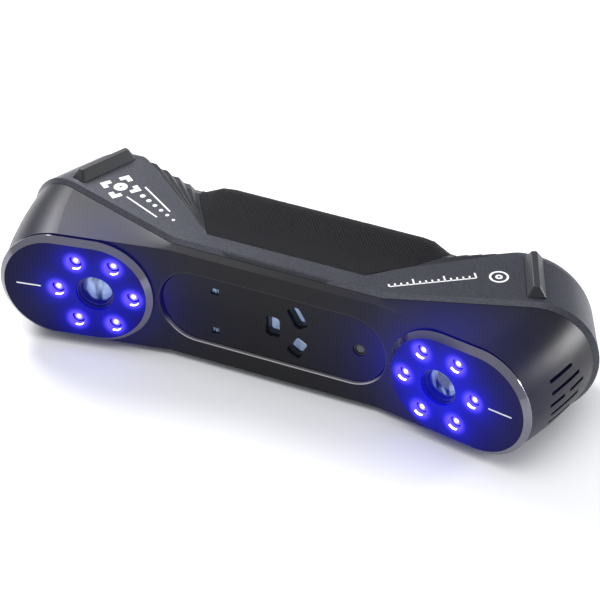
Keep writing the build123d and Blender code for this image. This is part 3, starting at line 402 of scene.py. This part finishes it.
def coverFinish(look, holes):
    material, net, shader = newMaterial("litCoverGloss")
    grain = useGroup(net, "grain", Scale=900.0, Base=look["rough"], Spread=0.08)
    glow = useGroup(net, "glow", Reach=look["lampReach"], Wide=look["blueWide"])
    face = net.blend(grain["Patch"], look["dark"], look["light"])
    # the chamfer's colour is a painted reflection, which turns dark blue where the painted lamp spill is
    # strong
    nearLamps = net.span(glow["Spill"], 0.12, 0.22, smooth=True)
    chamferReflection = net.blend(nearLamps, look["rim"], look["rimNearLamps"])
    net.put(net.blend(glow["Chamfer"], face, chamferReflection), shader["Base Color"])
    net.put(grain["Rough"], shader["Roughness"])
    net.put(net.times(glow["Chamfer"], look["rimMetal"]), shader["Metallic"])
    # the lamps' blue glow and bloom, painted on the cover as emission
    lit = net.plus(glow["Lamps"], net.times(glow["Spill"], 0.8))
    onFace = net.times(lit, net.minus(1.0, net.times(glow["Chamfer"], 0.8)))
    blue = net.blend(net.math("MINIMUM", onFace, 1.0), black, look["blue"])
    bloom = net.times(net.span(glow["Lamps"], 0.16, 0.55, smooth=True), net.minus(1.0, glow["Chamfer"]))
    bloomed = net.blend(net.times(bloom, look["bloomShare"]), blue, look["bloom"])
    net.put(net.blend(lampCrescent(net, glow, holes), bloomed, holes["hot"]), shader["Emission Color"])
    shader["Emission Strength"].default_value = look["strength"]
    shader["Specular IOR Level"].default_value = look["specular"]
    return material


windowLook = {"dark": (0.004, 0.004, 0.005, 1), "light": (0.007, 0.007, 0.009, 1), "rough": 0.09,
              "blue": (0.006, 0.008, 1.0, 1), "blueWide": 8.0 * mm, "blueStrength": 3.6, "specular": 0.2}


def windowFinish(look):
    material, net, shader = newMaterial("windowGloss")
    grain = useGroup(net, "grain", Scale=700.0, Base=look["rough"], Spread=0.06)
    glow = useGroup(net, "glow", Wide=look["blueWide"])
    net.put(net.blend(grain["Patch"], look["dark"], look["light"]), shader["Base Color"])
    net.put(grain["Rough"], shader["Roughness"])
    # painted lamp light: the lamps' blue spill on the window
    paintLampSpill(net, shader, glow, look["blue"], look["blueStrength"])
    shader["Specular IOR Level"].default_value = look["specular"]
    return material


lampLook = {"body": (0.05, 0.05, 0.5, 1), "rough": 0.12, "coreUp": 0.15 * mm, "strength": 2.0,
            "edge": (0.003, 0.006, 0.75, 1), "halo": (0.5, 0.35, 1.8, 1), "centre": (4.0, 3.6, 4.5, 1)}


def lampFinish(look, holes):
    material, net, shader = newMaterial("blueLamp")
    glow = useGroup(net, "glow")
    grain = useGroup(net, "grain", Scale=1500.0, Base=look["rough"], Spread=0.05)
    net.put(grain["Rough"], shader["Roughness"])
    shader["Base Color"].default_value = look["body"]
    sideways = net.math("POWER", glow["LampAcross"], 2.0)
    upwards = net.math("POWER", net.plus(glow["LampUp"], -look["coreUp"]), 2.0)
    core = net.math("EXPONENT", net.math("DIVIDE", net.plus(sideways, upwards), -holes["core"] ** 2))
    hot = net.blend(net.span(core, 0.0, 0.5), look["edge"], look["halo"])
    white = net.span(core, 0.4, 0.85, smooth=True)
    net.put(net.blend(white, hot, look["centre"]), shader["Emission Color"])
    shader["Emission Strength"].default_value = look["strength"]
    return material


# a dark moulding next to the lamps, with their blue light painted on it
def glowFinish(name, dark, light, rough, strength):
    material, net, shader = newMaterial(name)
    grain = useGroup(net, "grain", Scale=1800.0, Base=rough, Spread=0.1)
    glow = useGroup(net, "glow", Wide=9.0 * mm)
    net.put(net.blend(grain["Patch"], (*dark, 1), (*light, 1)), shader["Base Color"])
    net.put(grain["Rough"], shader["Roughness"])
    net.put(bump(net, grain["Height"], 0.01 * mm, 0.3), shader["Normal"])
    paintLampSpill(net, shader, glow, (0.005, 0.008, 1.0, 1), strength)
    return material


glassLook = {"lean": radians(24), "stretch": (1.6, 1.0, 0.5), "coatTint": (0.75, 0.85, 1.0, 1),
             "specular": 0.9}


# coated glass: a dark body with a painted pale broken reflection in it, also given out as a faint painted
# glow
def lensFinish(name, reflectionColour, deep, low, high, scale, lit=0.0):
    material, net, shader = newMaterial(name)
    grain = useGroup(net, "grain", Scale=300.0, Base=0.06, Spread=0.05)
    stretched = net.add("ShaderNodeMapping")
    net.put(net.place(), stretched.inputs["Vector"])
    stretched.inputs["Rotation"].default_value = (0, glassLook["lean"], 0)
    stretched.inputs["Scale"].default_value = glassLook["stretch"]
    streak = net.noise(stretched.outputs[0], scale, detail=1.5, rough=0.4)
    colour = net.blend(net.span(streak, low, high, smooth=True), (*deep, 1), (*reflectionColour, 1))
    net.put(colour, shader["Base Color"])
    net.put(colour, shader["Emission Color"])
    shader["Emission Strength"].default_value = lit
    net.put(grain["Rough"], shader["Roughness"])
    shader["Coat Weight"].default_value = 1.0
    shader["Coat Tint"].default_value = glassLook["coatTint"]
    shader["Specular IOR Level"].default_value = glassLook["specular"]
    return material


materials = {
    "front_shell": frontFinish(frontLook),
    "rear_shell": rearFinish(rearLook, pleatZone),
    "grip_rubber": gripFinish(gripLook),
    "rib_rubber": plainFinish("ribRubber", (0.008, 0.0085, 0.011), (0.016, 0.017, 0.021), 0.42, 0.14,
                              height=0.03),
    "cover_gloss": coverFinish(coverLook, lampHoles),
    "window_gloss": windowFinish(windowLook),
    "white_ink": plainFinish("whiteInk", (0.78, 0.78, 0.79), (0.86, 0.86, 0.87), 0.5),
    "foam": plainFinish("foamBlack", (0.008, 0.008, 0.009), (0.014, 0.014, 0.015), 0.85),
    "black_metal": plainFinish("blackAnodised", (0.02, 0.02, 0.024), (0.035, 0.035, 0.04), 0.32,
                               metallic=0.6),
    "black_plastic": plainFinish("blackMoulding", (0.012, 0.012, 0.013), (0.022, 0.022, 0.024), 0.48, 0.12),
    "coated_glass": lensFinish("coatedGlass", (0.42, 0.5, 0.74), (0.012, 0.025, 0.16),
                               0.42, 0.62, 210.0, lit=0.3),
    "projector_glass": lensFinish("projectorGlass", (0.6, 0.68, 0.84), (0.3, 0.38, 0.5),
                                  0.35, 0.6, 120.0, lit=0.3),
    "dark_glass": lensFinish("darkGlass", (0.02, 0.02, 0.03), (0.002, 0.002, 0.003), 0.5, 0.7, 260.0),
    "shroud_plastic": glowFinish("shroudPlastic", (0.004, 0.004, 0.007), (0.008, 0.008, 0.012), 0.3, 0.55),
    "circuit_board": plainFinish("solderMask", (0.008, 0.05, 0.028), (0.014, 0.08, 0.042), 0.34,
                                 scale=600.0),
    "blue_lamp": lampFinish(lampLook, lampHoles),
    "white_lamp": lensFinish("flashPhosphor", (0.32, 0.46, 0.62), (0.03, 0.06, 0.1),
                             0.44, 0.52, 900.0, lit=0.1),
    "green_lamp": plainFinish("lightPipe", (0.10, 0.5, 0.28), (0.18, 0.66, 0.4), 0.2, 0.08),
    "bare_aluminium": plainFinish("machinedAluminium", (0.55, 0.56, 0.58), (0.68, 0.69, 0.71), 0.34, 0.12,
                                  metallic=1.0),
    "brass": plainFinish("turnedBrass", (0.58, 0.42, 0.18), (0.72, 0.55, 0.26), 0.28, 0.12, metallic=1.0),
    "steel": plainFinish("zincSteel", (0.42, 0.42, 0.43), (0.56, 0.56, 0.57), 0.32, 0.12, metallic=1.0),
    "button_plastic": plainFinish("buttonSatin", (0.035, 0.035, 0.038), (0.055, 0.055, 0.06), 0.42, 0.12),
    "amber_film": plainFinish("amberFilm", (0.24, 0.09, 0.012), (0.36, 0.15, 0.02), 0.3),
}
# pieces with a finish other than their slot's
finishOf = {"centre_window": "window_gloss", "button_plate": "window_gloss",
            "colour_camera": "black_plastic", "colour_camera_lens": "dark_glass",
            "upright_projector_glass": "projector_glass", "upper_projector_glass": "projector_glass",
            "lower_projector_glass": "projector_glass"}
for side in ("left", "right"):
    finishOf["bumper_rib_" + side] = "rib_rubber"
    finishOf["lens_shroud_" + side] = "shroud_plastic"
    finishOf["lens_barrel_" + side] = "shroud_plastic"
for row in frame["record"]["subparts"]:
    node = nodes[row["node"]]
    node.data.materials.clear()
    node.data.materials.append(materials[finishOf.get(row["node"], row["material_slot"])])
print("stage: materials on", len(nodes), "nodes")


def newPiece(name, mesh, body, material):
    data = bpy.data.meshes.new(name)
    bmesh.ops.remove_doubles(mesh, verts=mesh.verts, dist=1e-6)
    bmesh.ops.recalc_face_normals(mesh, faces=mesh.faces)
    mesh.to_mesh(data)
    mesh.free()
    piece = bpy.data.objects.new(name, data)
    bpy.context.scene.collection.objects.link(piece)
    data.materials.append(materials[material])
    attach(piece, body)
    return piece


# a straight printed bar that stands on z = 0
def addBar(mesh, start, end, width, thick):
    line = Vector((end[0] - start[0], end[1] - start[1], 0))
    along = Matrix.Rotation(atan2(line.y, line.x), 4, "Z")
    centre = Vector(((start[0] + end[0]) / 2, (start[1] + end[1]) / 2, thick / 2))
    bmesh.ops.create_cube(mesh, size=1.0, matrix=Matrix.Translation(centre) @ along
                          @ Matrix.Diagonal((line.length, width, thick, 1)))


# a printed ring that stands on z = 0
def addRing(mesh, centre, radius, width, thick, steps=64):
    verts = bmesh.ops.create_circle(mesh, cap_ends=False, segments=steps, radius=radius)["verts"]
    edges = list(dict.fromkeys(edge for vert in verts for edge in vert.link_edges))
    grown = bmesh.ops.extrude_edge_only(mesh, edges=edges)["geom"]
    outer = [item for item in grown if isinstance(item, bmesh.types.BMVert)]
    bmesh.ops.scale(mesh, verts=outer, vec=((radius + width) / radius,) * 2 + (1,))
    faces = list(dict.fromkeys(face for vert in outer for face in vert.link_faces))
    raised = bmesh.ops.extrude_face_region(mesh, geom=faces)["geom"]
    top = [item for item in raised if isinstance(item, bmesh.types.BMVert)]
    bmesh.ops.translate(mesh, verts=top, vec=(0, 0, thick))
    bmesh.ops.translate(mesh, verts=verts + outer + top, vec=(*centre, 0))


ink = {"thick": 0.06 * mm, "sink": 0.02 * mm}


def ontoFlank(mesh):
    bmesh.ops.translate(mesh, verts=mesh.verts, vec=(0, 0, flankTop - ink["sink"]))


# places and sizes of the printing are in millimetres, seen from above
rightPrint = {"ringAt": (70.6, 9.4), "ringRadius": 2.6, "ringWidth": 0.75, "dotShare": 0.2,
              "scaleStart": (64.0, 5.6), "scaleEnd": (39.6, -11.2), "ticks": 15, "tallEvery": 5,
              "tall": 3.0, "short": 1.5, "width": 0.6, "baseShare": 0.8}


# a ring, and a graduated scale that runs along the wing
def makeRightPrint(shape):
    mesh = bmesh.new()
    start, end = Vector(shape["scaleStart"]), Vector(shape["scaleEnd"])
    line = end - start
    across = Vector((-line.y, line.x)).normalized()
    for i in range(shape["ticks"]):
        foot = start + line * i / (shape["ticks"] - 1)
        high = shape["tall"] if i % shape["tallEvery"] == 0 else shape["short"]
        addBar(mesh, foot * mm, (foot - across * high) * mm, shape["width"] * mm, ink["thick"])
    addBar(mesh, start * mm, end * mm, shape["width"] * mm * shape["baseShare"], ink["thick"])
    ringAt, radius, width = Vector(shape["ringAt"]) * mm, shape["ringRadius"] * mm, shape["ringWidth"] * mm
    addRing(mesh, ringAt, radius, width, ink["thick"])
    addRing(mesh, ringAt, radius * shape["dotShare"], width, ink["thick"])
    ontoFlank(mesh)
    return newPiece("wing_scale_print", mesh, "scanner", "white_ink")


leftPrint = {"centre": (-70.4, 5.4), "half": 4.6, "corner": 2.9, "width": 1.9, "turn": -38.0,
             "dotShare": 0.12, "lineWidth": 0.6,
             "lines": [((-62.5, 8.8), (-47.5, -1.4)), ((-65.4, 0.6), (-50.0, -6.4))],
             "dots": {"start": (-60.6, 3.4), "end": (-44.0, -5.6), "count": 6,
                      "hole": 0.25, "first": 0.75, "less": 0.08}}


# a square scanning reticle, and two guide lines with a row of dots between them
def makeLeftPrint(shape):
    mesh = bmesh.new()
    half, corner, width = shape["half"] * mm, shape["corner"] * mm, shape["width"] * mm
    for sideX in (-1, 1):
        for sideY in (-1, 1):
            x, y = sideX * half, sideY * half
            addBar(mesh, (x + sideX * width / 2, y), (x - sideX * corner, y), width, ink["thick"])
            addBar(mesh, (x, y - sideY * width / 2), (x, y - sideY * corner), width, ink["thick"])
    addRing(mesh, (0, 0), half * shape["dotShare"], width, ink["thick"])
    centre = Matrix.Translation((*(Vector(shape["centre"]) * mm), 0))
    turned = Matrix.Rotation(radians(shape["turn"]), 4, "Z")
    bmesh.ops.transform(mesh, matrix=centre @ turned, verts=mesh.verts)
    for start, end in shape["lines"]:
        addBar(mesh, Vector(start) * mm, Vector(end) * mm, shape["lineWidth"] * mm, ink["thick"])
    dots = shape["dots"]
    for i in range(dots["count"]):
        at = Vector(dots["start"]).lerp(Vector(dots["end"]), i / (dots["count"] - 1))
        wide = (dots["first"] - dots["less"] * i) * mm
        addRing(mesh, at * mm, dots["hole"] * mm, wide, ink["thick"], steps=24)
    ontoFlank(mesh)
    return newPiece("wing_reticle_print", mesh, "scanner", "white_ink")


makeRightPrint(rightPrint)
makeLeftPrint(leftPrint)
print("stage: printed marks")


buttonMarks = {"arm": 1.5 * mm, "triangle": 1.5, "width": 0.45 * mm, "thick": 0.05 * mm, "sink": 0.01 * mm}


# printed strokes on a button's face; each is a pair of (across, up) points
def makeButtonMark(button, strokes, name):
    mesh = bmesh.new()
    for start, end in strokes:
        addBar(mesh, start, end, buttonMarks["width"], buttonMarks["thick"])
    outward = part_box(button)[1].y
    toBack = Matrix.Rotation(radians(-90), 4, "X") @ Matrix.Rotation(pi, 4, "Z")
    face = Vector((middle(button).x, outward - buttonMarks["sink"], middle(button).z))
    bmesh.ops.transform(mesh, matrix=Matrix.Translation(face) @ toBack, verts=mesh.verts)
    return newPiece(name, mesh, button, "white_ink")


arm = buttonMarks["arm"]
levelStroke, uprightStroke = ((-arm, 0), (arm, 0)), ((0, -arm), (0, arm))
reach = arm * buttonMarks["triangle"]
corners = [(reach * cos(angle), reach * sin(angle)) for angle in (0, 2 * pi / 3, 4 * pi / 3)]
makeButtonMark("plus_button", [levelStroke, uprightStroke], "plus_button_print")
makeButtonMark("minus_button", [levelStroke], "minus_button_print")
makeButtonMark("scan_button", list(zip(corners, corners[1:] + corners[:1])), "scan_button_print")
print("stage: button marks")


studio = {"floorHalf": 6.0, "floorDrop": 0.1 * mm, "worldColour": (0.93, 0.95, 1.0, 1),
          "worldStrength": 0.62}
heart = (0, 0, 0.02)
softboxes = {
    "keyTopLeft": {"place": (-0.36, 0.2, 0.36), "aim": (-0.1, 0, 0.02), "size": (0.22, 0.2), "power": 2.4},
    "edgeRight": {"place": (0.7, 0.5, 0.2), "aim": heart, "size": (0.12, 0.3), "power": 4.6},
    "overFloor": {"place": (0.1, -0.35, 1.6), "aim": heart, "size": (1.6, 1.2), "power": 14.0},
}


def addFloor():
    mesh = bmesh.new()
    bmesh.ops.create_grid(mesh, x_segments=1, y_segments=1, size=studio["floorHalf"])
    # just clear of the underside
    bmesh.ops.translate(mesh, verts=mesh.verts, vec=(0, 0, -studio["floorDrop"]))
    data = bpy.data.meshes.new("floor")
    mesh.to_mesh(data)
    mesh.free()
    floor = bpy.data.objects.new("floor", data)
    bpy.context.scene.collection.objects.link(floor)
    pale = plainFinish("paleFloor", (0.86, 0.86, 0.87), (0.9, 0.9, 0.9), 0.7, 0.05, scale=40.0)
    data.materials.append(pale)


def addSoftbox(name, place, aim, size, power):
    light = bpy.data.lights.new(name, "AREA")
    light.shape = "RECTANGLE"
    light.size, light.size_y = size
    light.energy = power
    lamp = bpy.data.objects.new(name, light)
    lamp.location = place
    lamp.rotation_euler = (Vector(aim) - Vector(place)).to_track_quat("-Z", "Y").to_euler()
    bpy.context.scene.collection.objects.link(lamp)


addFloor()
for name, box in softboxes.items():
    addSoftbox(name, **box)
world = bpy.data.worlds.new("studio")
bpy.context.scene.world = world
world.use_nodes = True
sky = world.node_tree.nodes["Background"].inputs
sky["Color"].default_value = studio["worldColour"]
sky["Strength"].default_value = studio["worldStrength"]

eye = {"place": Vector((338.9, -717.2, 582.7)) * mm, "aim": Vector((4.46, -6.39, 27.9)) * mm,
       "roll": radians(0.24), "lens": 168.6, "sensor": 36.0}
camera = bpy.data.objects.new("camera", bpy.data.cameras.new("camera"))
camera.data.lens = eye["lens"]
camera.data.sensor_width = eye["sensor"]
towards = (eye["aim"] - eye["place"]).to_track_quat("-Z", "Y").to_matrix().to_4x4()
camera.matrix_world = Matrix.Translation(eye["place"]) @ towards @ Matrix.Rotation(-eye["roll"], 4, "Z")
bpy.context.scene.collection.objects.link(camera)
bpy.context.scene.camera = camera
bpy.context.scene.view_settings.view_transform = "Standard"
print("stage: studio")
